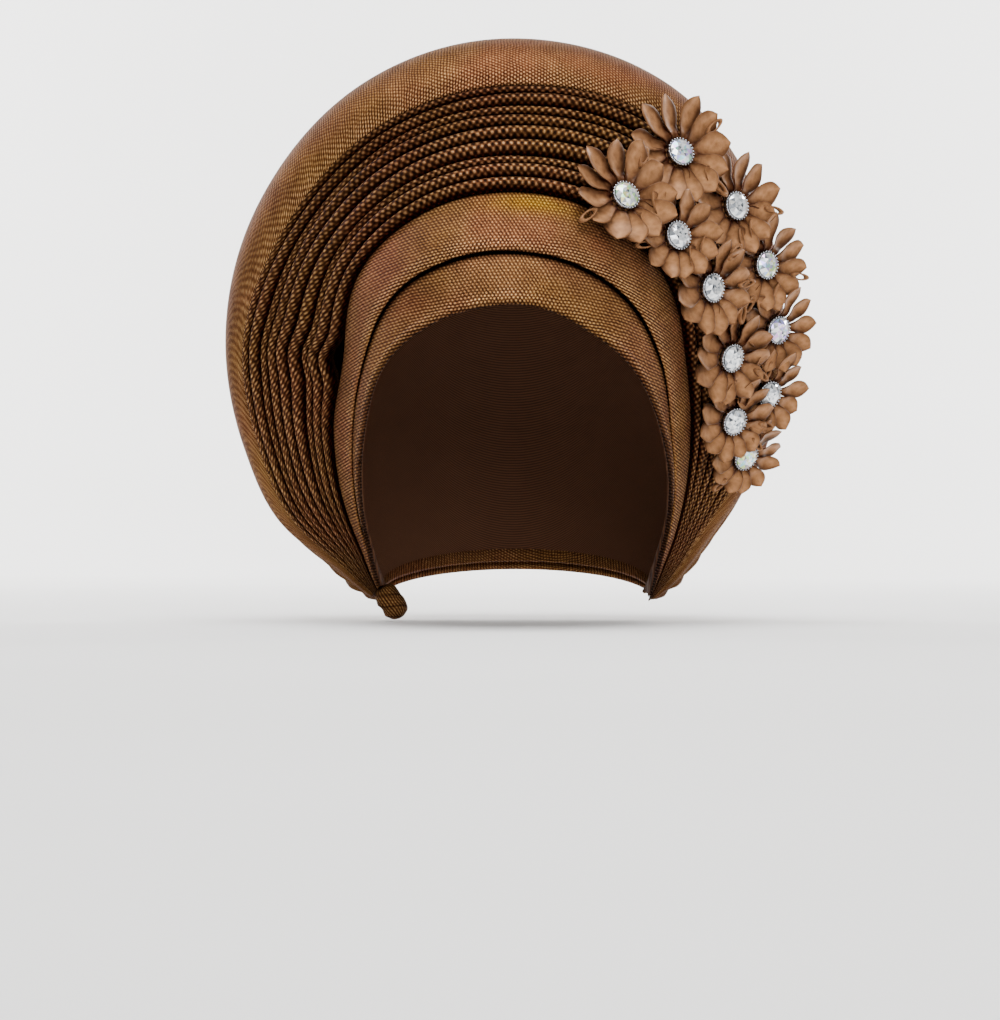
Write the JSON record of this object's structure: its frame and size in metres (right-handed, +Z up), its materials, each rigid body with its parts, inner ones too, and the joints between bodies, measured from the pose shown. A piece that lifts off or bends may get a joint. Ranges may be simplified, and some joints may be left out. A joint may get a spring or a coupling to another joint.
{
  "type": "gele head tie",
  "caption": "Ready-tied gele head wrap in stiff bronze cloth, pleated into a halo over a fitted cap, with folded ribbon flowers that hold cut crystals.",
  "frame": {"origin": "the point inside the cap that rests on the crown of the head", "axes": "+Z up, -Y the way the face looks, +X towards the wearer's left, where the flowers are"},
  "size_m": [0.2554, 0.221, 0.2512],
  "materials": {
    "cap_cloth": "woven metallic cloth, soft sheen",
    "band_cloth": "woven metallic cloth, soft sheen",
    "fan_cloth": "woven metallic cloth, soft sheen",
    "ribbon_satin": "satin ribbon, smooth sheen",
    "setting_metal": "bright silver-coloured metal",
    "stone_glass": "clear cut glass with a pale coloured flash"
  },
  "bodies": {
    "root": {"cap": "cap_cloth", "over_band": "band_cloth", "pleated_fan": "fan_cloth", "rolled_end": "band_cloth", "flower_01": "ribbon_satin", "setting_01": "setting_metal", "stone_01": "stone_glass", "flower_02": "ribbon_satin", "setting_02": "setting_metal", "stone_02": "stone_glass", "flower_03": "ribbon_satin", "setting_03": "setting_metal", "stone_03": "stone_glass", "flower_04": "ribbon_satin", "setting_04": "setting_metal", "stone_04": "stone_glass", "flower_05": "ribbon_satin", "setting_05": "setting_metal", "stone_05": "stone_glass", "flower_06": "ribbon_satin", "setting_06": "setting_metal", "stone_06": "stone_glass", "flower_07": "ribbon_satin", "setting_07": "setting_metal", "stone_07": "stone_glass", "flower_08": "ribbon_satin", "setting_08": "setting_metal", "stone_08": "stone_glass", "flower_09": "ribbon_satin", "setting_09": "setting_metal", "stone_09": "stone_glass", "flower_10": "ribbon_satin", "setting_10": "setting_metal", "stone_10": "stone_glass", "flower_11": "ribbon_satin", "setting_11": "setting_metal", "stone_11": "stone_glass"}
  },
  "joints": []
}
